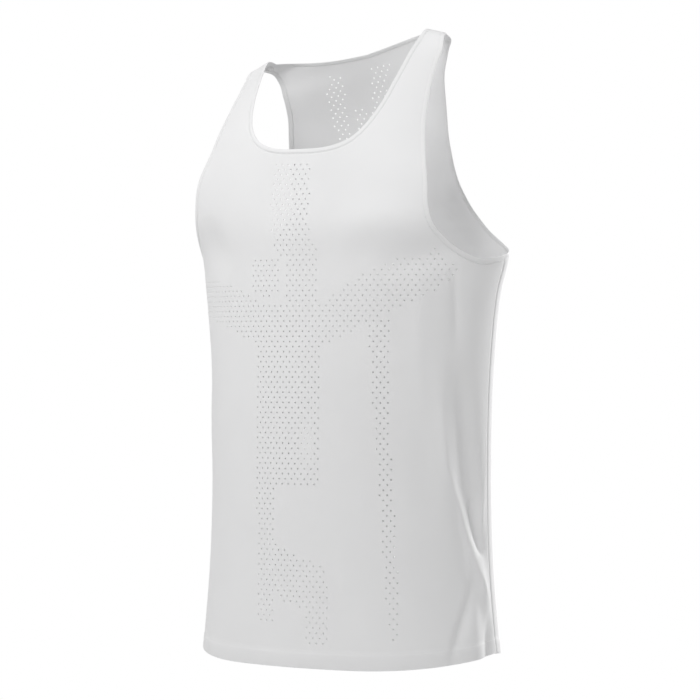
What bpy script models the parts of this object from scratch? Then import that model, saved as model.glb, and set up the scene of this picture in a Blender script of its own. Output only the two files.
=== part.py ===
"""Running singlet: front, back, neck binding and two armhole bindings, hollow, as worn.

Units are metres, +Z is up, +X is the wearer's left and -Y is the front. The origin lies midway
between the shoulders at the height of the neck points, where the wearer holds the garment up.

A cloth point has two coordinates: "across", the distance along the cloth from the centre line, and
"level", the distance up the cloth from the hem. The sections below bend the flat cloth into the worn
form, and the cutting lines give the neck and the armholes on the flat cloth.
"""
import math

import bmesh
import bpy
import numpy as np

# ---------------------------------------------------------------- driving sizes
SHOULDER_HEIGHT = 0.668      # hem to the neck points, straight up
WALL = 0.0012                # a panel's cloth
HEM_WALL = 0.0020            # where the hem is turned up and bonded
HEM_DEPTH = 0.016
HEM_STEP = 0.003             # run-out above the turned-up edge
BINDING_WIDTH = 0.0045       # each leaf of the folded binding
BINDING_WALL = 0.0010
GAP = 0.0004                 # between two pieces of cloth
SEAM_HALF_GAP = 0.00025      # each panel stops this short of a seam line
SEAM_STRIP = 0.003           # a narrow run of faces beside each seam, square to the seam's wall
FOLD_ROOM = 0.0006           # between a panel's cut edge and the fold of its binding

SHOULDER_TILT = 0.125        # rise of the left shoulder for each metre across
TILT_STARTS = 0.545          # heights between which the tilt comes in
TILT_ENDS = 0.670
TILT_CROWN = 0.6             # the back of the neck tilts this much more in its middle,
TILT_CROWN_REACH = 0.105     # out to this far from the centre plane
HEM_TILT = -0.018            # rise of the hem's left side for each metre across
HEM_TILT_ENDS = 0.150        # height at which the hem's tilt has died out

# ---------------------------------------------------------------- the worn form
# Each section is a quarter ellipse from the centre line to the side, seen from above. Below the
# underarm both panels meet at the side seam, so the panels share one table of rings.
RING_COLUMNS = ("level", "height", "half_width", "seam_y", "front_y", "back_y")
RINGS = (
    (0.00, 0.000, 0.1825, 0.0150, -0.1150, 0.0840),
    (0.11, 0.110, 0.1715, 0.0155, -0.1140, 0.0815),
    (0.22, 0.220, 0.1690, 0.0160, -0.1120, 0.0795),
    (0.33, 0.330, 0.1725, 0.0170, -0.1100, 0.0825),
    (0.40, 0.400, 0.1788, 0.0205, -0.1075, 0.0870),
    (0.44, 0.440, 0.1872, 0.0230, -0.1060, 0.0900),
)
# Above the underarm each panel has sections of its own. "y" and "height" place the section's middle,
# "half_width" and "curve" are the ellipse's axes, and "lean" turns the curve from straight back
# (0 degrees, on the chest) to straight down (90 degrees, on top of the shoulder). Each table runs one
# section past the shoulder seam, onto the other panel, so that the seam lies on one smooth form.
YOKE_COLUMNS = ("level", "height", "y", "half_width", "curve", "lean")
FRONT_YOKE = (
    (0.480, 0.4800, -0.1062, 0.1950, 0.1000, 0),
    (0.520, 0.5200, -0.0982, 0.1990, 0.0850, 0),
    (0.560, 0.5580, -0.0890, 0.2000, 0.1080, 5),
    (0.600, 0.5950, -0.0730, 0.2000, 0.1200, 15),
    (0.640, 0.6360, -0.0490, 0.2000, 0.1200, 35),
    (0.670, 0.6640, -0.0270, 0.2000, 0.1150, 60),
    (0.700, 0.6820, 0.0000, 0.2000, 0.1000, 90),
    (0.713, 0.6800, 0.0128, 0.2000, 0.1000, 90),
    (0.728, 0.6745, 0.0268, 0.2000, 0.1000, 90),
)
BACK_YOKE = (
    (0.480, 0.4800, 0.0910, 0.1920, 0.0950, 0),
    (0.520, 0.5200, 0.0870, 0.1760, 0.1600, 0),
    (0.560, 0.5600, 0.0785, 0.1640, 0.1600, 0),
    (0.600, 0.6000, 0.0680, 0.1620, 0.1350, 10),
    (0.640, 0.6380, 0.0510, 0.1700, 0.1100, 30),
    (0.670, 0.6635, 0.0368, 0.1950, 0.1000, 65),
    (0.685, 0.6745, 0.0268, 0.2000, 0.1000, 90),
    (0.700, 0.6800, 0.0128, 0.2000, 0.1000, 90),
    (0.713, 0.6820, 0.0000, 0.2000, 0.1000, 90),
)

# ---------------------------------------------------------------- the cutting lines
# Points (across, level) on half of the flat cloth, joined by smooth curves.
HEM_RISE = 0.0180            # the side seams end this far above the middle of the hem
HEM_SWEEP = {                # share of the hem's half width that stays level, and the rise's power
    "front": (0.30, 2.0),
    "back": (0.10, 1.3),
}
UNDERARM = 0.4375            # level of the side seam's top
FRONT_NECK = ((0.0, 0.5520), (0.022, 0.5525), (0.043, 0.5560), (0.060, 0.5640), (0.073, 0.5780),
              (0.084, 0.5990), (0.0925, 0.6260), (0.0995, 0.6600), (0.1050, 0.6980), (0.1055, 0.7130))
BACK_NECK = ((0.0, 0.6655), (0.025, 0.6680), (0.050, 0.6730), (0.073, 0.6805), (0.090, 0.6890),
             (0.1055, 0.7000))
FRONT_ARMHOLE = ((0.2350, 0.4342), (0.2170, 0.4322), (0.2040, 0.4342), (0.1900, 0.4400),
                 (0.1775, 0.4480), (0.1665, 0.4592), (0.1585, 0.4725), (0.1548, 0.4870),
                 (0.1525, 0.5090), (0.1460, 0.5425), (0.1380, 0.5800), (0.1330, 0.6200),
                 (0.1320, 0.6500), (0.1330, 0.6760), (0.1305, 0.6930), (0.1225, 0.7130))
BACK_ARMHOLE = ((0.2000, 0.4410), (0.1710, 0.4510), (0.1410, 0.4680), (0.1225, 0.4910), (0.1165, 0.5200),
                (0.1148, 0.5500), (0.1120, 0.5800), (0.1092, 0.6100), (0.1092, 0.6400), (0.1130, 0.6680),
                (0.1185, 0.6860), (0.1225, 0.7000))

# ---------------------------------------------------------------- the largest folds
# A ridge (rise above zero) or trough (below zero) along a straight line on the flat cloth, highest
# in its middle. "panel" is -1 for the front and 1 for the back, and "across" is above zero on the
# wearer's left.
FOLD_COLUMNS = ("panel", "across_0", "level_0", "across_1", "level_1", "half_width", "rise")
FOLDS = (
    (-1, -0.170, 0.444, 0.205, 0.470, 0.026, 0.0034),
    (-1, -0.160, 0.405, 0.170, 0.408, 0.040, 0.0020),
    (-1, 0.055, 0.472, 0.200, 0.470, 0.022, 0.0042),
    (-1, 0.184, 0.440, 0.100, 0.424, 0.014, -0.0030),
    (-1, 0.186, 0.430, 0.186, 0.290, 0.015, -0.0016),
    (-1, 0.166, 0.340, 0.180, 0.130, 0.014, 0.0036),
    (-1, 0.190, 0.320, 0.222, 0.060, 0.015, -0.0070),
    (-1, 0.194, 0.190, 0.244, 0.030, 0.010, 0.0060),
    (-1, 0.206, 0.095, 0.214, -0.020, 0.012, 0.0042),
    (-1, -0.140, 0.475, -0.090, 0.420, 0.018, -0.0030),
    (-1, -0.145, 0.540, -0.180, 0.340, 0.030, 0.0032),
    (-1, -0.138, 0.680, -0.142, 0.560, 0.030, 0.0030),
    (-1, -0.172, 0.300, -0.238, 0.080, 0.016, 0.0035),
    (-1, -0.204, 0.250, -0.222, 0.060, 0.014, -0.0035),
    (1, 0.100, 0.300, 0.150, 0.070, 0.018, 0.0035),
    (1, 0.130, 0.250, 0.165, 0.020, 0.016, -0.0035),
    (1, -0.140, 0.340, -0.200, 0.110, 0.016, 0.0040),
    (1, -0.118, 0.250, -0.150, 0.010, 0.018, -0.0030),
    (1, -0.030, 0.130, -0.045, -0.020, 0.018, 0.0030),
    (1, 0.075, 0.520, 0.130, 0.450, 0.014, -0.0030),
    (1, -0.080, 0.530, -0.135, 0.460, 0.014, -0.0030),
)
FOLD_FADE = 0.015            # folds die out over this distance before a side seam

# ---------------------------------------------------------------- mesh density
COLUMNS = 10                 # faces from the centre line to the side
ROWS = {                     # rows of faces, and the centre-line level of the row to the underarm
    "front": {"body": 17, "under_neck": 9, "strap": 18, "underarm_row": 0.400},
    "back": {"body": 17, "under_neck": 12, "strap": 16, "underarm_row": 0.430},
}
ARC_STEPS = 60               # for measuring along a section
CURVE_STEPS = 40             # for measuring along a cutting line, for each of its points
HEM_ROWS = 3                 # lines of points: the hem's edge, its top, and the end of the run-out

FRONT, BACK = -1, 1


def spline(knots, values, at):
    """Smooth curve through the values at the knots, read at the places in at."""
    knots = np.asarray(knots, float)
    values = np.asarray(values, float)
    at = np.asarray(at, float)
    width = np.diff(knots)[:, None]
    slope = np.diff(values, axis=0) / width
    inner = (slope[:-1] * width[1:] + slope[1:] * width[:-1]) / (width[1:] + width[:-1])
    tangent = np.concatenate([slope[:1], inner, slope[-1:]])
    i = np.clip(np.searchsorted(knots, at) - 1, 0, len(knots) - 2)
    t = ((at - knots[i]) / width[i, 0])[..., None]
    w = width[i]
    return ((2 * t**3 - 3 * t**2 + 1) * values[i] + (t**3 - 2 * t**2 + t) * w * tangent[i]
            + (3 * t**2 - 2 * t**3) * values[i + 1] + (t**3 - t**2) * w * tangent[i + 1])


def columns(names, table):
    """A table's columns as arrays, by name."""
    return dict(zip(names, np.array(table, float).T))


def sections(panel):
    """Levels of a panel's sections, and for each its height, y, half width, curve and lean."""
    rings = columns(RING_COLUMNS, RINGS)
    rings["y"] = rings["front_y" if panel == FRONT else "back_y"]
    rings["curve"] = abs(rings["y"] - rings["seam_y"])
    rings["lean"] = np.zeros(len(RINGS))
    yoke = columns(YOKE_COLUMNS, FRONT_YOKE if panel == FRONT else BACK_YOKE)
    joined = {name: np.concatenate([rings[name], yoke[name]]) for name in YOKE_COLUMNS}
    return joined.pop("level"), np.stack(list(joined.values()), axis=-1)


SECTIONS = {panel: sections(panel) for panel in (FRONT, BACK)}
TURN = np.linspace(0, math.pi / 2, ARC_STEPS + 1)


def arc_lengths(half_width, curve):
    """Distance along a section's quarter ellipse, from the centre line, at each TURN."""
    steps = np.hypot(half_width[..., None] * np.diff(np.sin(TURN)),
                     curve[..., None] * np.diff(np.cos(TURN)))
    start = np.zeros(half_width.shape + (1,))
    return np.concatenate([start, np.cumsum(steps, axis=-1)], axis=-1)


def side_distance(panel, level):
    """How far across the cloth the side seam, or the section's end, lies at each level."""
    _, _, half_width, curve, _ = np.moveaxis(spline(*SECTIONS[panel], level), -1, 0)
    return arc_lengths(half_width, curve)[..., -1]


def worn(panel, across, level):
    """Places of the outer face of a panel, for points on its flat cloth."""
    across = np.asarray(across, float)
    level = np.asarray(level, float)
    height, middle, half_width, curve, lean = np.moveaxis(spline(*SECTIONS[panel], level), -1, 0)
    lengths = arc_lengths(half_width, curve)
    turn = np.empty(across.shape)
    for place in np.ndindex(across.shape):
        turn[place] = np.interp(abs(across[place]), lengths[place], TURN)
    drop = curve * (1 - np.cos(turn))
    lean = np.radians(lean)
    x = np.sign(across) * half_width * np.sin(turn)
    y = middle - panel * drop * np.cos(lean)
    z = height - drop * np.sin(lean)
    rise = np.clip((z - TILT_STARTS) / (TILT_ENDS - TILT_STARTS), 0, 1)
    crown = 1 + TILT_CROWN * np.clip(1 - (x / TILT_CROWN_REACH)**2, 0, 1)
    sag = np.clip(1 - z / HEM_TILT_ENDS, 0, 1)
    z = z + SHOULDER_TILT * crown * x * rise**2 * (3 - 2 * rise) + HEM_TILT * x * sag
    return np.stack([x, y, z - SHOULDER_HEIGHT], axis=-1)


def outward(panel, across, level, step=0.0005):
    """The form's outward normal at points on the flat cloth."""
    along = worn(panel, across + step, level) - worn(panel, across - step, level)
    up = worn(panel, across, level + step) - worn(panel, across, level - step)
    normal = np.cross(along, up) * -panel
    return normal / np.linalg.norm(normal, axis=-1, keepdims=True)


def fold_rise(panel, across, level):
    """How far the folds move each cloth point outwards."""
    rise = np.zeros(np.shape(across))
    for values in FOLDS:
        fold = dict(zip(FOLD_COLUMNS, values))
        if fold["panel"] != panel:
            continue
        start = np.array([fold["across_0"], fold["level_0"]])
        run = np.array([fold["across_1"], fold["level_1"]]) - start
        length = np.linalg.norm(run)
        point = np.stack([across, level], axis=-1) - start
        along = point @ run / length**2
        off = (point[..., 0] * run[1] - point[..., 1] * run[0]) / length / fold["half_width"]
        taper = np.clip(4 * along * (1 - along), 0, 1)
        rise += fold["rise"] * taper * np.exp(-off**2)
    room = (side_distance(panel, level) - np.abs(across)) / FOLD_FADE
    return rise * np.clip(room, 0, 1)


# ---------------------------------------------------------------- flat cutting lines
def even_points(line, count, starts_at_seam=False):
    """count + 1 points on the smooth curve through a cutting line's points, which ends at a seam.

    They are evenly spaced, but for the narrow first or last step beside a seam.
    """
    line = np.asarray(line, float)
    chord = np.concatenate([[0], np.cumsum(np.linalg.norm(np.diff(line, axis=0), axis=1))])
    fine = spline(chord, line, np.linspace(0, chord[-1], CURVE_STEPS * len(line)))
    length = np.concatenate([[0], np.cumsum(np.linalg.norm(np.diff(fine, axis=0), axis=1))])
    if starts_at_seam:
        even = np.linspace(SEAM_STRIP, length[-1] - SEAM_STRIP, count - 1)
        at = np.concatenate([[0], even, length[-1:]])
    else:
        at = np.append(np.linspace(0, length[-1] - SEAM_STRIP, count), length[-1])
    return np.stack([np.interp(at, length, fine[:, k]) for k in (0, 1)], axis=-1)


END_REACH = 0.09             # how far a row keeps the heading it starts or ends with
CORNER_HEADING = 45          # degrees: rows cross the corners under the neck and underarm halfway
UNDERARM_ROW_DIP = 15        # degrees that the row to the underarm dips at the centre line
TURNING = {"underarm": 4, "neck": 5, "armhole": 2, "shoulder": 4}   # rows that turn at each place
RELAX_PASSES = 12            # each moves the inner points part of the way to their neighbours' middle
RELAX_SHARE = 0.5


def square_to(line):
    """Headings, in degrees, square to a line and to the right of it."""
    run = np.gradient(line, axis=0)
    return np.degrees(np.arctan2(run[:, 1], run[:, 0])) % 360 - 90


def bent_rows(start, end, leave, arrive, columns):
    """Rows of flat points that leave start and reach end at given headings, in degrees."""
    s = np.linspace(0, 1, columns + 1)[None, :, None]
    reach = np.minimum(np.linalg.norm(end - start, axis=1), END_REACH)[:, None]
    leave, arrive = np.radians(leave), np.radians(arrive)
    go = (reach * np.stack([np.cos(leave), np.sin(leave)], axis=-1))[:, None]
    come = (reach * np.stack([np.cos(arrive), np.sin(arrive)], axis=-1))[:, None]
    start, end = start[:, None], end[:, None]
    return ((2 * s**3 - 3 * s**2 + 1) * start + (s**3 - 2 * s**2 + s) * go
            + (3 * s**2 - 2 * s**3) * end + (s**3 - s**2) * come)


def headings_out(line, heading, distance):
    """Points a distance away from each point of a line, along headings in degrees."""
    heading = np.radians(heading)
    return line + distance * np.stack([np.cos(heading), np.sin(heading)], axis=-1)


def half_pattern(panel):
    """Flat points of half a panel: a grid of cloth, and strips along its neck, armhole and side.

    A row of the cloth runs from the centre line or the neck to the side or the armhole. It stops
    one binding's width inside the neck and armhole edges, so that the leaf of a binding lies over
    faces of its own and is made from their points.
    """
    rows = ROWS["front" if panel == FRONT else "back"]
    neck_edge = even_points(FRONT_NECK if panel == FRONT else BACK_NECK, rows["strap"])
    underarm = (float(side_distance(panel, UNDERARM)) - SEAM_HALF_GAP, UNDERARM)
    armhole_line = (underarm,) + (FRONT_ARMHOLE if panel == FRONT else BACK_ARMHOLE)
    armhole_edge = even_points(armhole_line, rows["under_neck"] + rows["strap"] + 1, True)
    neck = headings_out(neck_edge, square_to(neck_edge), BINDING_WIDTH)
    armhole = headings_out(armhole_edge, square_to(armhole_edge) + 180, BINDING_WIDTH)
    neck[0] = (0, neck_edge[0, 1] - BINDING_WIDTH)
    side_top = UNDERARM - BINDING_WIDTH
    neck[-1] = neck_edge[-1] + (BINDING_WIDTH, 0)
    armhole[-1] = armhole_edge[-1] - (BINDING_WIDTH, 0)
    for line in (neck, armhole, neck_edge, armhole_edge):
        line[-1, 1] -= SEAM_HALF_GAP
    # up the centre line: hem edge, turned-up hem, body, and on to the bottom of the neck
    hem_top = HEM_DEPTH + HEM_STEP
    rise = np.concatenate([[0, HEM_DEPTH],
                           np.linspace(hem_top, rows["underarm_row"], rows["body"] - 1)])
    under_neck = np.linspace(rows["underarm_row"], neck[0, 1], rows["under_neck"] + 1)[1:-1]
    centre = np.concatenate([rise, under_neck])
    inner = np.concatenate([np.stack([np.zeros(len(centre)), centre], axis=-1), neck])
    # up the side seam, then round the armhole
    part = np.clip((rise - hem_top) / (rows["underarm_row"] - hem_top), 0, 1)
    side_level = HEM_RISE + rise + part * (side_top - HEM_RISE - rows["underarm_row"])
    seam = np.stack([side_distance(panel, side_level) - SEAM_HALF_GAP, side_level], axis=-1)
    outer = np.concatenate([seam[:-1] - (SEAM_STRIP, 0), armhole[1:]])
    # headings: level at the hem, 45 degrees at the two corners, square to the cut edges
    last = len(inner) - 1
    row = np.arange(last + 1)
    body, corner = rows["body"], len(centre)
    leave = np.interp(row, [0, body, corner], [0, -UNDERARM_ROW_DIP, -CORNER_HEADING])
    arrive = np.interp(row, [0, body - TURNING["underarm"], body], [0, 0, CORNER_HEADING])
    onto = np.clip((row - corner) / TURNING["neck"], 0, 1)
    leave += onto * (np.concatenate([leave[:corner], square_to(neck)]) - leave)
    onto = np.clip((row - body) / TURNING["armhole"], 0, 1)
    arrive += onto * (np.concatenate([arrive[:body], square_to(armhole[1:])]) - arrive)
    level_off = np.clip((last - row) / TURNING["shoulder"], 0, 1)
    cloth = bent_rows(inner, outer, leave * level_off, arrive * level_off, COLUMNS)
    # the hem's rows follow its curve, and the rest is evened out
    hem, above = slice(0, HEM_ROWS), slice(HEM_ROWS, -1)
    share = np.linspace(0, 1, COLUMNS + 1)[None, :, None]
    cloth[hem] = inner[hem, None] * (1 - share) + outer[hem, None] * share
    share = cloth[hem, :, 0] / seam[hem, :1]
    level_part, power = HEM_SWEEP["front" if panel == FRONT else "back"]
    sweep = np.clip((share - level_part) / (1 - level_part), 0, 1)**power
    cloth[hem, :, 1] = rise[hem, None] + HEM_RISE * sweep
    for _ in range(RELAX_PASSES):
        up, down = cloth[HEM_ROWS + 1:, 1:-1], cloth[HEM_ROWS - 1:-2, 1:-1]
        middle = (up + down + cloth[above, 2:] + cloth[above, :-2]) / 4
        cloth[above, 1:-1] += RELAX_SHARE * (middle - cloth[above, 1:-1])
    inside_neck = cloth[-len(neck_edge):, 0]
    inside_armhole = np.concatenate([seam[-1:], cloth[body:, -1]])
    return {"cloth": cloth,
            "neck": np.stack([neck_edge, inside_neck], axis=1),
            "armhole": np.stack([inside_armhole, armhole_edge], axis=1),
            "side": np.stack([cloth[:body + 1, -1], seam], axis=1)}


def on_body(panel, side, flat):
    """Places and outward normals of flat points on the left (1) or right (-1) half of a panel."""
    across, level = side * flat[..., 0], flat[..., 1]
    normal = outward(panel, across, level)
    rise = fold_rise(panel, across, level)[..., None]
    return worn(panel, across, level) + rise * normal, normal


# ---------------------------------------------------------------- meshes
def add_grid(bm, points, flip, weights):
    """Adds a sheet of faces with its corners at a grid of points; weights go by row."""
    high, wide = points.shape[0] - 1, points.shape[1] - 1
    layer = bm.verts.layers.deform.verify()
    made = bmesh.ops.create_grid(bm, x_segments=wide, y_segments=high, size=0.5)["verts"]
    for vertex, place in zip(made, points.reshape(-1, 3)):
        vertex.co = place
    if flip:
        faces = {face for vertex in made for face in vertex.link_faces}
        bmesh.ops.reverse_faces(bm, faces=list(faces))
    for index, vertex in enumerate(made):
        vertex[layer][0] = weights[index // (wide + 1)]


def fabric(name, colour):
    """Matte white sports cloth."""
    material = bpy.data.materials.new(name)
    material.use_nodes = True
    shader = material.node_tree.nodes["Principled BSDF"]
    shader.inputs["Base Color"].default_value = colour + (1.0,)
    shader.inputs["Roughness"].default_value = 0.75
    shader.inputs["Metallic"].default_value = 0.0
    return material


def finish(bm, name, collection, material, thickness, grow):
    """Welds a sheet, makes it an object and gives it its wall."""
    bmesh.ops.remove_doubles(bm, verts=bm.verts, dist=0.00001)
    mesh = bpy.data.meshes.new(name)
    bm.to_mesh(mesh)
    bm.free()
    mesh.shade_smooth()
    piece = bpy.data.objects.new(name, mesh)
    collection.objects.link(piece)
    mesh.materials.append(material)
    wall = piece.modifiers.new("wall", "SOLIDIFY")
    wall.thickness = thickness
    wall.offset = grow
    wall.use_even_offset = True
    # a binding's faces and the panel's faces under them are cut across the same way
    split = piece.modifiers.new("split", "TRIANGULATE")
    split.quad_method = "SHORTEST_DIAGONAL"
    return piece, wall


def make_panel(panel, name, collection, material):
    """A whole front or back, thicker where its hem is turned up."""
    bm = bmesh.new()
    for side in (1, -1):
        for part, flat in half_pattern(panel).items():
            hem = [1.0 if part in ("cloth", "side") and row < 2 else 0.0 for row in range(len(flat))]
            add_grid(bm, on_body(panel, side, flat)[0], side * panel > 0, hem)
    piece, wall = finish(bm, name, collection, material, HEM_WALL, -1)
    piece.vertex_groups.new(name="hem")
    wall.vertex_group = "hem"
    wall.thickness_vertex_group = WALL / HEM_WALL
    return piece


def edge_stations(panel, side, edge, inside):
    """Places and normals along an edge, and one binding's width inside it."""
    at_edge, edge_normal = on_body(panel, side, edge)
    at_inside, inside_normal = on_body(panel, side, inside)
    return np.stack([at_edge, edge_normal, at_inside, inside_normal], axis=1)


def join_runs(first, second):
    """One run of stations from two that meet at a seam, with one station on the seam."""
    return np.concatenate([first[:-1], (first[-1:] + second[:1]) / 2, second[1:]])


def make_binding(stations, turn, name, collection, material):
    """A narrow strip folded over a closed cut edge, one leaf outside and one inside."""
    at_edge, edge_normal, at_inside, inside_normal = np.moveaxis(stations, 1, 0)
    edge_normal = edge_normal / np.linalg.norm(edge_normal, axis=-1, keepdims=True)
    inside_normal = inside_normal / np.linalg.norm(inside_normal, axis=-1, keepdims=True)
    off = at_edge - at_inside
    off -= edge_normal * np.sum(off * edge_normal, axis=-1, keepdims=True)
    off /= np.linalg.norm(off, axis=-1, keepdims=True)
    under = WALL + GAP
    section = [at_inside + GAP * inside_normal,
               at_edge + GAP * edge_normal + FOLD_ROOM / 2 * off,
               at_edge - WALL / 2 * edge_normal + FOLD_ROOM * off,
               at_edge - under * edge_normal + FOLD_ROOM / 2 * off,
               at_inside - under * inside_normal]
    strip = np.stack(section, axis=1)
    bm = bmesh.new()
    add_grid(bm, strip, turn, np.zeros(len(strip)))
    return finish(bm, name, collection, material, BINDING_WALL, 1)[0]


def main():
    for old in list(bpy.data.objects):
        bpy.data.objects.remove(old, do_unlink=True)
    collection = bpy.data.collections.new("running_singlet")
    bpy.context.scene.collection.children.link(collection)
    panel_cloth = fabric("panel_cloth", (0.86, 0.86, 0.87))
    binding_tape = fabric("binding_tape", (0.88, 0.88, 0.89))
    make_panel(FRONT, "front", collection, panel_cloth)
    make_panel(BACK, "back", collection, panel_cloth)

    neck_runs, armhole_runs = {}, {}
    for panel in (FRONT, BACK):
        flat = half_pattern(panel)
        neck_edge, inside_neck = np.moveaxis(flat["neck"], 1, 0)
        inside_armhole, armhole_edge = np.moveaxis(flat["armhole"], 1, 0)
        for side in (1, -1):
            neck_runs[panel, side] = edge_stations(panel, side, neck_edge, inside_neck)
            armhole_runs[panel, side] = edge_stations(panel, side, armhole_edge, inside_armhole)
    # round the neck: front middle, left shoulder, back middle, right shoulder, front middle
    left = join_runs(neck_runs[FRONT, 1], neck_runs[BACK, 1][::-1])
    right = join_runs(neck_runs[FRONT, -1], neck_runs[BACK, -1][::-1])
    loop = np.concatenate([left, right[::-1][1:]])
    make_binding(loop, True, "neck_binding", collection, binding_tape)
    # round each armhole: underarm, front, shoulder, back, underarm
    for side, name in ((1, "armhole_binding_left"), (-1, "armhole_binding_right")):
        loop = join_runs(armhole_runs[FRONT, side], armhole_runs[BACK, side][::-1])
        seam = (loop[:1] + loop[-1:]) / 2
        loop = np.concatenate([seam, loop[1:-1], seam])
        make_binding(loop, side < 0, name, collection, binding_tape)


main()
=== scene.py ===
# %% [markdown]
# # A running singlet, worn and hollow
#
# The garment is five pieces of cloth: a front, a back, and three narrow tapes folded over the cut edges of the
# neck and the armholes. A maker cuts each one flat and joins them, so this lesson does the same. It draws the
# flat cloth as a grid, cuts and punches it there, and only then bends it into the worn form.
#
# Units are metres, +Z is up, +X is the wearer's left and -Y is the front. The origin lies midway between the
# shoulders, at the height of the neck points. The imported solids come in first, as a fixed frame to fit.

# %% The fixed frame
import math

import bmesh
import bpy
import numpy as np
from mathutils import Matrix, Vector


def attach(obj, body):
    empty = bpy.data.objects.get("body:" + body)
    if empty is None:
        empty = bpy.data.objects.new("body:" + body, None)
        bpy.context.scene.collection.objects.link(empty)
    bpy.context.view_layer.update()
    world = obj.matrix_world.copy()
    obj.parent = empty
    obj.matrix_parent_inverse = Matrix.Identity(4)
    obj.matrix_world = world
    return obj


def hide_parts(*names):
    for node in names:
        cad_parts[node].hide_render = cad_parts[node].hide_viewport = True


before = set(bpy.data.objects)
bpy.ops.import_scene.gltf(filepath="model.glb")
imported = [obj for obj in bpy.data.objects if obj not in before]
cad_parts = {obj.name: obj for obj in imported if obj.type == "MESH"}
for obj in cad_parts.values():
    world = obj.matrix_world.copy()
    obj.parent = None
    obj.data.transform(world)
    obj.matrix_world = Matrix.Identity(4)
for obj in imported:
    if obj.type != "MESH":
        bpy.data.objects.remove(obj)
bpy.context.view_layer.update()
print("solids to dress:", sorted(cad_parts))

# %% [markdown]
# ## Camera
#
# A garment looks flat and true when it is seen from far away through a long lens. The camera stands four metres
# off, turned towards the wearer's left, level with the middle of the body, so no shift or tilt is needed. The
# focal length could be guessed in millimetres. Here it is worked out from how many pixels a metre covers.

# %% Camera
IMAGE_PIXELS = 700
FOCAL_PIXELS = 3680
SENSOR_WIDTH = 36.0                  # millimetres
CAMERA_TURN = math.radians(34)       # round from the front, to the wearer's left
CAMERA_DISTANCE = 4.0
CAMERA_DROP = 0.3315                 # below the neck points
CAMERA_ASIDE = 0.0026                # to the camera's own right

camera_data = bpy.data.cameras.new("camera")
camera_data.sensor_width = SENSOR_WIDTH
camera_data.lens = SENSOR_WIDTH * FOCAL_PIXELS / IMAGE_PIXELS
camera = bpy.data.objects.new("camera", camera_data)
bpy.context.scene.collection.objects.link(camera)
away = Vector((math.sin(CAMERA_TURN), -math.cos(CAMERA_TURN), 0))
aside = Vector((math.cos(CAMERA_TURN), math.sin(CAMERA_TURN), 0))
camera.location = CAMERA_DISTANCE * away + CAMERA_ASIDE * aside - Vector((0, 0, CAMERA_DROP))
camera.rotation_euler = (math.pi / 2, 0, CAMERA_TURN)
bpy.context.scene.camera = camera
print(f"lens {camera_data.lens:.0f} mm at {CAMERA_DISTANCE} m")

# %% [markdown]
# ## Studio
#
# White cloth on white needs very soft light, or its shallow folds burn out. A pale round floor lies where a
# wearer would stand, and gives light back from below. The world gives an even fill, near half of all the light.
# Two weak lights close to the front leave the chest bright and fade towards the hem. A wide one at the wearer's
# right softens the far side, and a small one behind the left shoulder draws the side seam as a bright rim. The
# world could be one plain colour; two backgrounds are mixed instead, so that the backdrop stays clean white while
# the fill is set on its own.

# %% Studio
FLOOR_LEVEL = -1.42
FLOOR_RADIUS = 2.4
FILL = 0.501                         # the world's light on the cloth
BODY_MIDDLE = Vector((0, 0, -0.33))
SOFT_LIGHTS = {                      # degrees round from the front and up, distance, size, watts
    "front": (10, 40, 1.9, 1.2, 13.5),
    "right_front": (-50, 45, 1.8, 1.0, 4.4),
    "right": (-75, 20, 3.4, 2.2, 8.4),
    "rim": (160, 12, 2.6, 0.8, 41.0),
}


def link(name, mesh):
    """A new object for a mesh, at the origin, in the scene."""
    piece = bpy.data.objects.new(name, mesh)
    bpy.context.scene.collection.objects.link(piece)
    return piece


def mesh_from(bm, name):
    """Turns a bmesh into a mesh with smooth faces and frees it."""
    for face in bm.faces:
        face.smooth = True
    mesh = bpy.data.meshes.new(name)
    bm.to_mesh(mesh)
    bm.free()
    return mesh


bm = bmesh.new()
bmesh.ops.create_circle(bm, cap_ends=True, radius=FLOOR_RADIUS, segments=96)
bmesh.ops.translate(bm, verts=bm.verts, vec=(0, 0, FLOOR_LEVEL))
floor = link("floor", mesh_from(bm, "floor"))

for name, (turn, rise, distance, size, power) in SOFT_LIGHTS.items():
    lamp = bpy.data.lights.new(name, "AREA")
    lamp.shape = "DISK"
    lamp.size = size
    lamp.energy = power
    light = bpy.data.objects.new(name, lamp)
    bpy.context.scene.collection.objects.link(light)
    turn, rise = math.radians(turn), math.radians(rise)
    away = Vector((math.sin(turn) * math.cos(rise), -math.cos(turn) * math.cos(rise), math.sin(rise)))
    light.location = BODY_MIDDLE + distance * away
    light.rotation_euler = away.to_track_quat("Z", "Y").to_euler()
    light.visible_camera = False
bpy.context.scene.view_settings.view_transform = "Standard"
print("lights:", ", ".join(SOFT_LIGHTS))

# %% [markdown]
# ## Writing materials as sums
#
# Node trees are easy to read as pictures and hard to read as code. A small class wraps one socket, so that
# `height * 0.5 + grain` adds the Math nodes by itself. Every other node comes from one method, `node`, which
# takes the node's type, its settings, and the values or links of its sockets.

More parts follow.
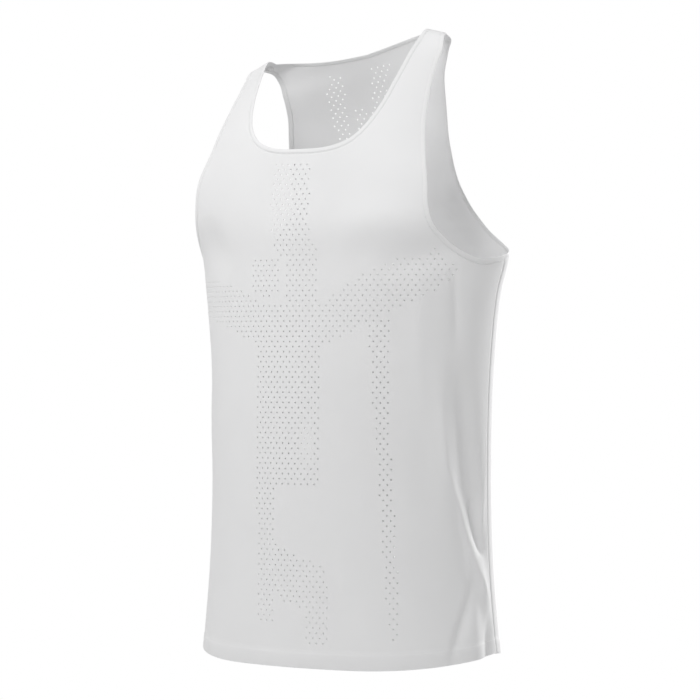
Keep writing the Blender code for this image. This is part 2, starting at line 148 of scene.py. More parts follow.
# %% Writing materials as sums
class Wire:
    """A socket of a node tree that can be used in sums."""

    def __init__(self, socket):
        self.socket = socket

    @staticmethod
    def node(tree, kind, settings=None, sockets=None, out=0):
        """Adds a node: its settings first, then its sockets. Returns one of its outputs."""
        made = tree.nodes.new(kind)
        for name, value in (settings or {}).items():
            setattr(made, name, value)
        for name, value in (sockets or {}).items():
            if isinstance(value, Wire):
                tree.links.new(value.socket, made.inputs[name])
            else:
                made.inputs[name].default_value = value
        return Wire(made.outputs[out]) if len(made.outputs) else None

    def math(self, operation, *others):
        """A Math node on this socket and the others."""
        values = dict(enumerate((self,) + others))
        return Wire.node(self.socket.id_data, "ShaderNodeMath", {"operation": operation}, values)

    def __add__(self, other):
        return self.math("ADD", other)

    def __mul__(self, other):
        return self.math("MULTIPLY", other)

    def __sub__(self, other):
        return self.math("SUBTRACT", other)

    def __rsub__(self, other):
        return (self * -1.0) + other

    __radd__ = __add__
    __rmul__ = __mul__


def material(name):
    """A new material: its tree, and its Principled shader."""
    made = bpy.data.materials.new(name)
    made.use_nodes = True
    return made, made.node_tree, made.node_tree.nodes["Principled BSDF"]


def plug(tree, wire, shader, socket):
    """Links a wire to a socket of the shader."""
    tree.links.new(wire.socket, shader.inputs[socket])


world = bpy.data.worlds.new("studio")
world.use_nodes = True
bpy.context.scene.world = world
tree = world.node_tree
tree.nodes.remove(tree.nodes["Background"])
seen = Wire.node(tree, "ShaderNodeLightPath")
fill = Wire.node(tree, "ShaderNodeBackground", sockets={"Color": (1, 1, 1, 1), "Strength": FILL})
backdrop = Wire.node(tree, "ShaderNodeBackground", sockets={"Color": (1, 1, 1, 1), "Strength": 1.0})
both = Wire.node(tree, "ShaderNodeMixShader", sockets={0: seen, 1: fill, 2: backdrop})
tree.links.new(both.socket, tree.nodes["World Output"].inputs["Surface"])

floor_paint, tree, shader = material("floor_paint")
shader.inputs["Roughness"].default_value = 0.9
speck = Wire.node(tree, "ShaderNodeTexNoise", sockets={"Scale": 40.0})
tone = Wire.node(tree, "ShaderNodeMix", {"data_type": "RGBA"},
                 {0: speck, 6: (0.90, 0.90, 0.90, 1), 7: (0.93, 0.93, 0.93, 1)}, out=2)
plug(tree, tone, shader, "Base Color")
floor.data.materials.append(floor_paint)
print("materials are written with", Wire.__name__)

# %% [markdown]
# ## Panel cloth
#
# The cloth is a smooth, matt knit of fine white polyester. Seen close, it is rows of tiny V stitches. They could
# be modelled, but at half a millimetre each there are over a million, so they are a bump that follows the flat
# cloth. Each panel's UV map holds the flat coordinates in metres, so the stitches bend with the folds. A thin
# sheen stands for the fuzz of fibre ends.

# %% Panel cloth
STITCH_WIDTH = 0.00060
STITCH_HEIGHT = 0.00048
CLOTH_THROUGH = 0.45         # share of the light that goes into the thin cloth and spreads there
FIBRE_SCATTER = 0.0010
COOL = 0.003                 # both cloths are this much bluer than grey


def flat_coordinates(tree):
    """The two flat coordinates of the cloth, in metres, from the piece's UV map."""
    uv = Wire.node(tree, "ShaderNodeUVMap", {"uv_map": "flat"})
    across = Wire.node(tree, "ShaderNodeSeparateXYZ", sockets={0: uv})
    up = Wire.node(tree, "ShaderNodeSeparateXYZ", sockets={0: uv}, out=1)
    return across, up


def knit(tree, width, height):
    """Height, from 0 to 1, of columns of V stitches of a given size."""
    across, up = flat_coordinates(tree)
    column = (across * (1 / width)).math("FRACT")
    slant = (column * 2.0 - 1.0).math("ABSOLUTE")
    course = ((up * (1 / height) + slant * 0.5) * math.tau).math("SINE")
    return (1.0 - slant * slant) * (course * 0.35 + 0.65)


def relief(tree, height, depth, strength):
    """A Bump node's normal, for a height from 0 to 1 that stands for a depth in metres."""
    sockets = {"Strength": strength, "Distance": depth, "Height": height}
    return Wire.node(tree, "ShaderNodeBump", sockets=sockets)


def white_cloth(name, through, greys, sheen, specular, scale):
    """A cloth that lets a share of the light through, in a slow, faint change between two greys.

    Returns its material, tree, shader and the noise that the greys come from.
    """
    made, tree, shader = material(name)
    shader.inputs["Subsurface Weight"].default_value = through
    shader.inputs["Subsurface Radius"].default_value = (1, 1, 1)
    shader.inputs["Subsurface Scale"].default_value = FIBRE_SCATTER
    shader.inputs["Sheen Weight"].default_value = sheen
    shader.inputs["Sheen Roughness"].default_value = 0.45
    shader.inputs["Specular IOR Level"].default_value = specular
    place = Wire.node(tree, "ShaderNodeTexCoord", out=3)
    noise = Wire.node(tree, "ShaderNodeTexNoise", sockets={"Vector": place, "Scale": scale, "Detail": 3.0})
    dark, light = [(grey, grey, grey + COOL, 1) for grey in greys]
    tone = Wire.node(tree, "ShaderNodeMix", {"data_type": "RGBA"}, {0: noise, 6: dark, 7: light}, out=2)
    plug(tree, tone, shader, "Base Color")
    return made, tree, shader, noise


panel_cloth, tree, shader, noise = white_cloth(
    "panel_cloth", CLOTH_THROUGH, greys=(0.785, 0.825), sheen=0.15, specular=0.35, scale=14.0)
plug(tree, noise * 0.10 + 0.60, shader, "Roughness")
plug(tree, relief(tree, knit(tree, STITCH_WIDTH, STITCH_HEIGHT), 0.00010, 0.30), shader, "Normal")
print("stitches to a centimetre:", round(0.01 / STITCH_WIDTH))

# %% [markdown]
# ## Binding tape
#
# The tape is the same yarn in a tighter, smoother knit, pressed flat by a hot iron, so it is a little glossier
# than the cloth. Its greys are painted a little paler than the cloth's. This is painted light that lifts the
# shade on the tape's inner leaf, where less light comes through. Its ribs run along its length, and its own UV
# map measures along and across it.

# %% Binding tape
RIB_WIDTH = 0.00045
TAPE_THROUGH = 0.10          # the doubled tape lets less light through

# painted light: the tape's greys are set paler than the cloth's, to lift the shade on its inner leaf
binding_tape, tree, shader, noise = white_cloth(
    "binding_tape", TAPE_THROUGH, greys=(0.820, 0.850), sheen=0.10, specular=0.40, scale=22.0)
plug(tree, noise * 0.08 + 0.50, shader, "Roughness")
along, over = flat_coordinates(tree)
ribs = (over * (math.tau / RIB_WIDTH)).math("SINE") * 0.35 + 0.5
plug(tree, relief(tree, ribs, 0.00006, 0.25), shader, "Normal")
print("tape ribs to a centimetre:", round(0.01 / RIB_WIDTH))

# %% [markdown]
# ## The worn form
#
# Cloth has two coordinates of its own: `across`, from the centre line along the cloth, and `level`, up from the
# hem. A form could be sculpted, but sections are easier to change. Each section is a quarter ellipse, given by
# its height, half width and depth. Below the underarm, front and back share rings that meet at the side seam.
# Above it, each panel has sections of its own, which lean over more and more until they lie on the shoulder.
# The distance along a section is measured, so the cloth bends but doesn't stretch.

# %% The worn form
SHOULDER_HEIGHT = 0.668      # hem to the neck points, straight up
SHOULDER_TILT = 0.125        # rise of the left shoulder for each metre across
TILT_STARTS = 0.545          # heights between which the tilt comes in
TILT_ENDS = 0.670
TILT_CROWN = 0.6             # the back of the neck tilts this much more in its middle,
TILT_CROWN_REACH = 0.105     # out to this far from the centre plane
HEM_TILT = -0.018            # rise of the hem's left side for each metre across
HEM_TILT_ENDS = 0.150        # height at which the hem's tilt has died out

RING_COLUMNS = ("level", "height", "half_width", "seam_y", "front_y", "back_y")
RINGS = (
    (0.00, 0.000, 0.1825, 0.0150, -0.1150, 0.0840),
    (0.11, 0.110, 0.1715, 0.0155, -0.1140, 0.0815),
    (0.22, 0.220, 0.1690, 0.0160, -0.1120, 0.0795),
    (0.33, 0.330, 0.1725, 0.0170, -0.1100, 0.0825),
    (0.40, 0.400, 0.1788, 0.0205, -0.1075, 0.0870),
    (0.44, 0.440, 0.1872, 0.0230, -0.1060, 0.0900),
)
YOKE_COLUMNS = ("level", "height", "y", "half_width", "curve", "lean")
FRONT_YOKE = (
    (0.480, 0.4800, -0.1062, 0.1950, 0.1000, 0),
    (0.520, 0.5200, -0.0982, 0.1990, 0.0850, 0),
    (0.560, 0.5580, -0.0890, 0.2000, 0.1080, 5),
    (0.600, 0.5950, -0.0730, 0.2000, 0.1200, 15),
    (0.640, 0.6360, -0.0490, 0.2000, 0.1200, 35),
    (0.670, 0.6640, -0.0270, 0.2000, 0.1150, 60),
    (0.700, 0.6820, 0.0000, 0.2000, 0.1000, 90),
    (0.713, 0.6800, 0.0128, 0.2000, 0.1000, 90),
    (0.728, 0.6745, 0.0268, 0.2000, 0.1000, 90),
)
BACK_YOKE = (
    (0.480, 0.4800, 0.0910, 0.1920, 0.0950, 0),
    (0.520, 0.5200, 0.0870, 0.1760, 0.1600, 0),
    (0.560, 0.5600, 0.0785, 0.1640, 0.1600, 0),
    (0.600, 0.6000, 0.0680, 0.1620, 0.1350, 10),
    (0.640, 0.6380, 0.0510, 0.1700, 0.1100, 30),
    (0.670, 0.6635, 0.0368, 0.1950, 0.1000, 65),
    (0.685, 0.6745, 0.0268, 0.2000, 0.1000, 90),
    (0.700, 0.6800, 0.0128, 0.2000, 0.1000, 90),
    (0.713, 0.6820, 0.0000, 0.2000, 0.1000, 90),
)
FRONT, BACK = -1, 1
ARC_STEPS = 60               # for measuring along a section
TURN = np.linspace(0, math.pi / 2, ARC_STEPS + 1)


def spline(knots, values, at):
    """Smooth curve through the values at the knots, read at the places in at."""
    knots = np.asarray(knots, float)
    values = np.asarray(values, float)
    at = np.asarray(at, float)
    width = np.diff(knots)[:, None]
    slope = np.diff(values, axis=0) / width
    inner = (slope[:-1] * width[1:] + slope[1:] * width[:-1]) / (width[1:] + width[:-1])
    tangent = np.concatenate([slope[:1], inner, slope[-1:]])
    i = np.clip(np.searchsorted(knots, at) - 1, 0, len(knots) - 2)
    t = ((at - knots[i]) / width[i, 0])[..., None]
    w = width[i]
    return ((2 * t**3 - 3 * t**2 + 1) * values[i] + (t**3 - 2 * t**2 + t) * w * tangent[i]
            + (3 * t**2 - 2 * t**3) * values[i + 1] + (t**3 - t**2) * w * tangent[i + 1])


def sections(panel):
    """Levels of a panel's sections, and for each its height, y, half width, curve and lean."""
    rings = dict(zip(RING_COLUMNS, np.array(RINGS, float).T))
    rings["y"] = rings["front_y" if panel == FRONT else "back_y"]
    rings["curve"] = abs(rings["y"] - rings["seam_y"])
    rings["lean"] = np.zeros(len(RINGS))
    yoke = dict(zip(YOKE_COLUMNS, np.array(FRONT_YOKE if panel == FRONT else BACK_YOKE, float).T))
    joined = {name: np.concatenate([rings[name], yoke[name]]) for name in YOKE_COLUMNS}
    return joined.pop("level"), np.stack(list(joined.values()), axis=-1)


SECTIONS = {panel: sections(panel) for panel in (FRONT, BACK)}


def arc_lengths(half_width, curve):
    """Distance along a section's quarter ellipse, from the centre line, at each TURN."""
    steps = np.hypot(half_width[..., None] * np.diff(np.sin(TURN)),
                     curve[..., None] * np.diff(np.cos(TURN)))
    start = np.zeros(half_width.shape + (1,))
    return np.concatenate([start, np.cumsum(steps, axis=-1)], axis=-1)


def side_distance(panel, level):
    """How far across the cloth the side seam, or the section's end, lies at each level."""
    _, _, half_width, curve, _ = np.moveaxis(spline(*SECTIONS[panel], level), -1, 0)
    return arc_lengths(half_width, curve)[..., -1]


def worn(panel, across, level):
    """Places of the outer face of a panel, for points on its flat cloth."""
    across = np.asarray(across, float)
    level = np.asarray(level, float)
    height, middle, half_width, curve, lean = np.moveaxis(spline(*SECTIONS[panel], level), -1, 0)
    lengths = arc_lengths(half_width, curve)
    turn = np.empty(across.shape)
    for place in np.ndindex(across.shape):
        turn[place] = np.interp(abs(across[place]), lengths[place], TURN)
    drop = curve * (1 - np.cos(turn))
    lean = np.radians(lean)
    x = np.sign(across) * half_width * np.sin(turn)
    y = middle - panel * drop * np.cos(lean)
    z = height - drop * np.sin(lean)
    rise = np.clip((z - TILT_STARTS) / (TILT_ENDS - TILT_STARTS), 0, 1)
    crown = 1 + TILT_CROWN * np.clip(1 - (x / TILT_CROWN_REACH)**2, 0, 1)
    sag = np.clip(1 - z / HEM_TILT_ENDS, 0, 1)
    z = z + SHOULDER_TILT * crown * x * rise**2 * (3 - 2 * rise) + HEM_TILT * x * sag
    return np.stack([x, y, z - SHOULDER_HEIGHT], axis=-1)


def outward(panel, across, level, step=0.0005):
    """The form's outward normal at points on the flat cloth."""
    along = worn(panel, across + step, level) - worn(panel, across - step, level)
    up = worn(panel, across, level + step) - worn(panel, across, level - step)
    normal = np.cross(along, up) * -panel
    return normal / np.linalg.norm(normal, axis=-1, keepdims=True)


for panel, name in ((FRONT, "front"), (BACK, "back")):
    print(f"{name}: {2 * float(side_distance(panel, 0.0)):.3f} m across the cloth at the hem")

# %% [markdown]
# ## Folds
#
# A worn singlet hangs in a few long, soft folds: from the underarm down to the hem at the sides, and small ones
# where the armhole pulls. A cloth simulation would find folds, but not these ones, so they are placed on the flat
# cloth. Each row is a bent line with a width and a height. `skew` makes one flank steeper than the other, as real
# folds are. The large ones are also in the solids; the fine ones are only here.

# %% Folds
LARGE_FOLDS = (              # panel, across and level of the start and the end, half width, rise
    (FRONT, -0.170, 0.444, 0.205, 0.470, 0.026, 0.0034),
    (FRONT, -0.160, 0.405, 0.170, 0.408, 0.040, 0.0020),
    (FRONT, 0.055, 0.472, 0.200, 0.470, 0.022, 0.0042),
    (FRONT, 0.184, 0.440, 0.100, 0.424, 0.014, -0.0030),
    (FRONT, 0.186, 0.430, 0.186, 0.290, 0.015, -0.0016),
    (FRONT, 0.166, 0.340, 0.180, 0.130, 0.014, 0.0036),
    (FRONT, 0.190, 0.320, 0.222, 0.060, 0.015, -0.0070),
    (FRONT, 0.194, 0.190, 0.244, 0.030, 0.010, 0.0060),
    (FRONT, 0.206, 0.095, 0.214, -0.020, 0.012, 0.0042),
    (FRONT, -0.140, 0.475, -0.090, 0.420, 0.018, -0.0030),
    (FRONT, -0.145, 0.540, -0.180, 0.340, 0.030, 0.0032),
    (FRONT, -0.138, 0.680, -0.142, 0.560, 0.030, 0.0030),
    (FRONT, -0.172, 0.300, -0.238, 0.080, 0.016, 0.0035),
    (FRONT, -0.204, 0.250, -0.222, 0.060, 0.014, -0.0035),
    (BACK, 0.100, 0.300, 0.150, 0.070, 0.018, 0.0035),
    (BACK, 0.130, 0.250, 0.165, 0.020, 0.016, -0.0035),
    (BACK, -0.140, 0.340, -0.200, 0.110, 0.016, 0.0040),
    (BACK, -0.118, 0.250, -0.150, 0.010, 0.018, -0.0030),
    (BACK, -0.030, 0.130, -0.045, -0.020, 0.018, 0.0030),
    (BACK, 0.075, 0.520, 0.130, 0.450, 0.014, -0.0030),
    (BACK, -0.080, 0.530, -0.135, 0.460, 0.014, -0.0030),
)
CREASES = (                  # panel, half width, rise, skew, and the line's points on the flat cloth
    (FRONT, 0.0050, -0.0015, 0.2, ((0.180, 0.432), (0.183, 0.402), (0.186, 0.372), (0.187, 0.340))),
    (FRONT, 0.0100, 0.0013, 0.3, ((0.150, 0.420), (0.146, 0.370), (0.147, 0.310), (0.154, 0.240))),
    (FRONT, 0.0045, 0.0012, 0.3, ((0.168, 0.300), (0.171, 0.260), (0.174, 0.225), (0.180, 0.198),
                                  (0.188, 0.172))),
    (FRONT, 0.0045, 0.0030, 0.3, ((0.181, 0.208), (0.192, 0.173), (0.199, 0.147), (0.207, 0.126),
                                  (0.216, 0.104), (0.228, 0.083), (0.240, 0.062))),
    (FRONT, 0.0055, -0.0058, 0.3, ((0.212, 0.180), (0.217, 0.148), (0.226, 0.118))),
    (FRONT, 0.0040, 0.0028, 0.0, ((0.232, 0.206), (0.226, 0.166), (0.225, 0.130))),
    (FRONT, 0.0045, 0.0022, 0.3, ((0.200, 0.122), (0.207, 0.104), (0.216, 0.088))),
    (FRONT, 0.0060, -0.0040, 0.4, ((0.212, 0.094), (0.203, 0.066), (0.192, 0.036), (0.183, 0.004))),
    (FRONT, 0.0060, -0.0030, 0.0, ((0.234, 0.064), (0.230, 0.026), (0.228, -0.010))),
    (FRONT, 0.0060, -0.0012, 0.2, ((-0.168, 0.340), (-0.184, 0.250), (-0.204, 0.160))),
    (FRONT, 0.0055, 0.0028, 0.3, ((-0.188, 0.215), (-0.207, 0.140), (-0.232, 0.080))),
    (FRONT, 0.0060, -0.0034, 0.2, ((-0.216, 0.118), (-0.209, 0.055), (-0.204, -0.010))),
    (BACK, 0.0070, -0.0030, 0.3, ((0.128, 0.300), (0.139, 0.210), (0.156, 0.120))),
    (BACK, 0.0060, 0.0028, 0.3, ((0.150, 0.210), (0.159, 0.130), (0.170, 0.066))),
    (BACK, 0.0065, -0.0026, 0.3, ((0.158, 0.096), (0.148, 0.046), (0.144, -0.006))),
    (BACK, 0.0060, -0.0034, 0.3, ((-0.150, 0.310), (-0.165, 0.225), (-0.184, 0.150))),
    (BACK, 0.0050, 0.0028, 0.3, ((-0.158, 0.228), (-0.171, 0.165), (-0.186, 0.112))),
    (BACK, 0.0055, -0.0044, 0.3, ((-0.180, 0.150), (-0.187, 0.110), (-0.190, 0.070))),
    (BACK, 0.0075, 0.0026, 0.2, ((-0.118, 0.190), (-0.131, 0.115), (-0.152, 0.045))),
    (BACK, 0.0080, -0.0024, 0.0, ((0.058, 0.130), (0.066, 0.060), (0.070, -0.010))),
    (BACK, 0.0065, -0.0018, 0.2, ((0.124, 0.468), (0.104, 0.505), (0.084, 0.528))),
    (BACK, 0.0065, -0.0020, 0.2, ((-0.128, 0.476), (-0.106, 0.510), (-0.082, 0.534))),
)
CREASE_STEPS = 60            # points along a crease, for measuring the distance to it
FOLD_FADE = 0.015            # folds die out over this distance before a side seam


def side_fade(panel, across, level):
    """1 on most of the cloth, falling to 0 at the side seam, where both panels share one edge."""
    return np.clip((side_distance(panel, level) - np.abs(across)) / FOLD_FADE, 0, 1)


def large_folds(panel, across, level):
    """How far the large folds move each cloth point outwards."""
    rise = np.zeros(np.shape(across))
    for side, x0, l0, x1, l1, half_width, height in LARGE_FOLDS:
        if side != panel:
            continue
        start, run = np.array([x0, l0]), np.array([x1 - x0, l1 - l0])
        length = np.linalg.norm(run)
        point = np.stack([across, level], axis=-1) - start
        along = point @ run / length**2
        off = (point[..., 0] * run[1] - point[..., 1] * run[0]) / length / half_width
        rise += height * np.clip(4 * along * (1 - along), 0, 1) * np.exp(-off**2)
    return rise


def creases(panel, across, level):
    """How far the fine creases move each cloth point outwards."""
    rise = np.zeros(np.shape(across))
    for side, half_width, height, skew, points in CREASES:
        if side != panel:
            continue
        line = spline(np.linspace(0, 1, len(points)), points, np.linspace(0, 1, CREASE_STEPS + 1))
        run = np.gradient(line, axis=0)
        run /= np.linalg.norm(run, axis=1, keepdims=True)
        away = np.stack([across, level], axis=-1)[..., None, :] - line
        near = np.linalg.norm(away, axis=-1).argmin(axis=-1)
        gap = np.take_along_axis(away, near[..., None, None], axis=-2)[..., 0, :]
        off = (gap[..., 0] * run[near, 1] - gap[..., 1] * run[near, 0]) / half_width
        beyond = np.sum(gap * run[near], axis=-1) / half_width
        swell = np.clip(np.sin(math.pi * near / CREASE_STEPS), 0, 1)**0.7
        rise += height * swell * (1 + skew * np.tanh(off)) * np.exp(-off**2 - beyond**2)
    return rise


def on_body(panel, across, level):
    """Places and outward normals of flat points, with the folds."""
    across, level = np.asarray(across, float), np.asarray(level, float)
    normal = outward(panel, across, level)
    rise = large_folds(panel, across, level) + creases(panel, across, level)
    rise = rise * side_fade(panel, across, level)
    return worn(panel, across, level) + rise[..., None] * normal, normal


print("large folds:", len(LARGE_FOLDS), "and fine creases:", len(CREASES))

# %% [markdown]
# ## Cutting lines
#
# Each panel is cut along a neck line and two armhole lines. They are smooth curves through a few points on half
# of the flat cloth. Besides the points, the pieces need to know which way the cloth lies from the cut, so each
# line also gives a heading at every station. Following the headings gives lines a set depth inside the edge.

# %% Cutting lines
UNDERARM = 0.4375            # level of the side seam's top
TOP = {FRONT: 0.713, BACK: 0.700}        # level of the shoulder seam
NECK = {
    FRONT: ((0.0, 0.5520), (0.022, 0.5525), (0.043, 0.5560), (0.060, 0.5640), (0.073, 0.5780),
            (0.084, 0.5990), (0.0925, 0.6260), (0.0995, 0.6600), (0.1050, 0.6980), (0.1055, 0.7130)),
    BACK: ((0.0, 0.6655), (0.025, 0.6680), (0.050, 0.6730), (0.073, 0.6805), (0.090, 0.6890),
           (0.1055, 0.7000)),
}
ARMHOLE = {
    FRONT: ((0.2350, 0.4342), (0.2170, 0.4322), (0.2040, 0.4342), (0.1900, 0.4400), (0.1775, 0.4480),
            (0.1665, 0.4592), (0.1585, 0.4725), (0.1548, 0.4870), (0.1525, 0.5090), (0.1460, 0.5425),
            (0.1380, 0.5800), (0.1330, 0.6200), (0.1320, 0.6500), (0.1330, 0.6760), (0.1305, 0.6930),
            (0.1225, 0.7130)),
    BACK: ((0.2000, 0.4410), (0.1710, 0.4510), (0.1410, 0.4680), (0.1225, 0.4910), (0.1165, 0.5200),
           (0.1148, 0.5500), (0.1120, 0.5800), (0.1092, 0.6100), (0.1092, 0.6400), (0.1130, 0.6680),
           (0.1185, 0.6860), (0.1225, 0.7000)),
}
SEAM_HALF_GAP = 0.00010      # each panel stops this short of a seam line
CURVE_STEPS = 40             # for measuring along a line, for each of its points


def cut_line(panel, which, spacing):
    """Stations along half a neck or armhole line: places on the flat cloth, and headings into the cloth."""
    line = NECK[panel]
    if which == "armhole":
        line = ((float(side_distance(panel, UNDERARM)), UNDERARM),) + ARMHOLE[panel]
    line = np.asarray(line, float)
    chord = np.concatenate([[0], np.cumsum(np.linalg.norm(np.diff(line, axis=0), axis=1))])
    fine = spline(chord, line, np.linspace(0, chord[-1], CURVE_STEPS * len(line)))
    length = np.concatenate([[0], np.cumsum(np.linalg.norm(np.diff(fine, axis=0), axis=1))])
    at = np.linspace(0, length[-1], math.ceil(length[-1] / spacing) + 1)
    edge = np.stack([np.interp(at, length, fine[:, k]) for k in (0, 1)], axis=-1)
    run = np.gradient(edge, axis=0)
    run /= np.linalg.norm(run, axis=1, keepdims=True)
    turn = 1 if which == "neck" else -1          # the cloth lies right of the neck line, left of the armhole
    heading = turn * np.stack([run[:, 1], -run[:, 0]], axis=-1)
    heading[0] = (0, -1)
    heading[-1] = (turn, 0)
    return edge, heading


def inside(panel, which, depth, spacing):
    """The line a given depth inside the cut; its ends stay on the centre line and on the seams."""
    edge, heading = cut_line(panel, which, spacing)
    line = edge + depth * heading
    line[-1, 1] -= SEAM_HALF_GAP
    if which == "armhole":
        line[0, 0] = side_distance(panel, line[0, 1]) - SEAM_HALF_GAP
    return line


for which in ("neck", "armhole"):
    edge, _ = cut_line(FRONT, which, 0.005)
    print(f"front {which}, half: {np.linalg.norm(np.diff(edge, axis=0), axis=1).sum():.3f} m")

# %% [markdown]
# ## Vents
#
# The cloth is punched with small holes in staggered rows, only where a runner sweats: down the breastbone,
# in bands under the chest, and in columns down the body. A picture could fake them, but real holes let the
# white backdrop show through the back and stay dark in front. Each zone is an outline on the flat cloth, and
# every second point of a fine lattice inside it gets a hole.

# %% Vents
HOLE_RADIUS = 0.00098
LATTICE_ACROSS = 0.0040      # half the distance between the holes of a row
LATTICE_UP = 0.0054          # from one row of holes to the next
VENTS = {
    FRONT: {
        "breastbone": ((-0.030, 0.546), (0.018, 0.546), (0.021, 0.496), (0.026, 0.451), (0.035, 0.446),
                       (0.036, 0.383), (-0.007, 0.383), (-0.005, 0.434), (-0.014, 0.434), (-0.023, 0.455),
                       (-0.029, 0.496)),
        "right_chest": ((-0.053, 0.437), (-0.015, 0.437), (-0.015, 0.400), (-0.030, 0.392), (-0.053, 0.400)),
        "left_band": ((0.036, 0.341), (0.052, 0.345), (0.095, 0.369), (0.127, 0.384), (0.155, 0.396),
                      (0.186, 0.414), (0.181, 0.436), (0.164, 0.452), (0.158, 0.441), (0.147, 0.436),
                      (0.113, 0.431), (0.084, 0.419), (0.066, 0.404), (0.040, 0.388), (0.033, 0.365)),
        "right_band": ((-0.045, 0.341), (-0.052, 0.345), (-0.086, 0.356), (-0.120, 0.365), (-0.175, 0.374),
                       (-0.200, 0.398), (-0.190, 0.420), (-0.150, 0.414), (-0.097, 0.408), (-0.047, 0.392)),
        "left_column": ((0.090, 0.372), (0.116, 0.372), (0.112, 0.284), (0.117, 0.210), (0.123, 0.126),
                        (0.1265, 0.075), (0.1255, 0.033), (0.117, 0.033), (0.112, 0.075), (0.107, 0.126),
                        (0.102, 0.210), (0.095, 0.284)),
        "stomach": ((-0.047, 0.386), (0.036, 0.386), (0.039, 0.344), (0.040, 0.191), (-0.016, 0.191),
                    (-0.016, 0.131), (0.010, 0.119), (0.040, 0.112), (0.050, 0.090), (0.050, 0.022),
                    (0.021, 0.022), (0.021, 0.064), (-0.007, 0.068), (-0.018, 0.078), (-0.018, 0.048),
                    (-0.042, 0.048), (-0.0445, 0.190)),
    },
    BACK: {
        "left_shoulder": ((0.000, 0.657), (0.026, 0.652), (0.010, 0.612), (0.006, 0.560), (-0.006, 0.560),
                          (-0.014, 0.600), (-0.010, 0.618)),
        "right_shoulder": ((-0.054, 0.654), (-0.036, 0.650), (-0.042, 0.600), (-0.040, 0.560), (-0.058, 0.560),
                           (-0.064, 0.618)),
        "yoke": ((-0.032, 0.606), (-0.012, 0.604), (-0.016, 0.574), (-0.034, 0.574)),
        "spine": ((-0.020, 0.500), (0.020, 0.500), (0.026, 0.380), (0.020, 0.200), (0.014, 0.060),
                  (-0.014, 0.060), (-0.020, 0.200), (-0.026, 0.380)),
        "left_column": ((0.096, 0.400), (0.116, 0.410), (0.112, 0.250), (0.108, 0.060), (0.096, 0.060)),
        "right_column": ((-0.116, 0.410), (-0.096, 0.400), (-0.096, 0.060), (-0.108, 0.060), (-0.112, 0.250)),
    },
}


def within(outline, across, level):
    """Which flat points lie inside an outline."""
    found = np.zeros(np.shape(across), bool)
    for (x0, l0), (x1, l1) in zip(outline, outline[1:] + outline[:1]):
        if l0 != l1:
            crosses = (level < l0) != (level < l1)
            found ^= crosses & (across < x0 + (level - l0) / (l1 - l0) * (x1 - x0))
    return found


print("vent zones:", {"front": len(VENTS[FRONT]), "back": len(VENTS[BACK])})

# %% [markdown]
# ## The flat panel
#
# `create_grid` gives rows and columns of faces. The columns keep an even width where there are vents, and the
# outer ones spread to follow the side seam. The lowest rows rise towards the sides with the hem. Extra rows and
# columns, cut in with `bisect_plane`, let the turned-up hem and the seams have crisp edges later.

# %% The flat panel
HEM_RISE = 0.0180            # the side seams end this far above the middle of the hem
HEM_LEVEL_PART = {FRONT: 0.30, BACK: 0.10}       # the hem stays level over this share of its half width
HEM_SWEEP = {FRONT: 2.0, BACK: 1.3}              # and then rises with this power of the rest
HEM_CURVE_FADE = 0.150       # height at which the rows are level again
HEM_TOP = 3 * LATTICE_UP     # the turned-up hem is three rows deep
HEM_CUTS = (0.0005, 0.0012, HEM_TOP - 0.0006, HEM_TOP + 0.0006)
SIDE_CUTS = (0.0006, 0.0016)     # from the side seam, before the columns spread
EVEN_COLUMNS = {FRONT: 48, BACK: 40}
SPREAD_COLUMNS = 9
HALVED_FROM = {FRONT: 32, BACK: 36}      # columns further out are halved, for the creases


def hem_lift(panel, across):
    """How far the hem lies above its middle."""
    share = np.abs(across) / side_distance(panel, np.full(np.shape(across), HEM_RISE))
    level_part = HEM_LEVEL_PART[panel]
    return HEM_RISE * np.clip((share - level_part) / (1 - level_part), 0, 1)**HEM_SWEEP[panel]


def above_hem(panel, across, level):
    """Height above the hem's own edge, for flat points."""
    lift = hem_lift(panel, across)
    lifted = (level - lift) / (1 - lift / HEM_CURVE_FADE)
    return np.where(level < HEM_CURVE_FADE, lifted, level)


def coordinates(verts):
    """Two arrays with the flat coordinates of vertices."""
    return np.array([vert.co[:2] for vert in verts], float).reshape(-1, 2).T


def flat_grid(panel):
    """A bmesh of the whole rectangle of cloth, its sides and hem already in their curves."""
    even = EVEN_COLUMNS[panel] * LATTICE_ACROSS
    side = even + SPREAD_COLUMNS * LATTICE_ACROSS
    rows = int(TOP[panel] / LATTICE_UP)
    bm = bmesh.new()
    bmesh.ops.create_grid(bm, x_segments=2 * (EVEN_COLUMNS[panel] + SPREAD_COLUMNS), y_segments=rows, size=1)
    bmesh.ops.translate(bm, verts=bm.verts, vec=(0, 1, 0))
    bmesh.ops.scale(bm, verts=bm.verts, vec=(side, rows * LATTICE_UP / 2, 1))
    cuts = [((0, height, 0), (0, 1, 0)) for height in HEM_CUTS]
    places = [side - depth for depth in SIDE_CUTS]
    places += [(column + 0.5) * LATTICE_ACROSS
               for column in range(HALVED_FROM[panel], EVEN_COLUMNS[panel] + SPREAD_COLUMNS)]
    cuts += [((sign * place, 0, 0), (1, 0, 0)) for place in places for sign in (1, -1)]
    for place, normal in cuts:
        bmesh.ops.bisect_plane(bm, geom=bm.verts[:] + bm.edges[:] + bm.faces[:], dist=1e-6,
                               plane_co=place, plane_no=normal)
    across, level = coordinates(bm.verts)
    share = np.clip((np.abs(across) - even) / (side - even), 0, 1)
    row = level
    fade = np.clip(1 - row / HEM_CURVE_FADE, 0, 1)
    for _ in range(3):           # the lift and the reach depend on each other a little
        reach = side_distance(panel, level) - SEAM_HALF_GAP
        placed = np.sign(across) * (np.minimum(np.abs(across), even) + share * (reach - even))
        level = row + hem_lift(panel, placed) * fade
    for vert, x, y in zip(bm.verts, placed, level):
        vert.co = (x, y, 0)
    return bm


trial = flat_grid(FRONT)
print(f"front rectangle: {len(trial.faces)} faces")
trial.free()

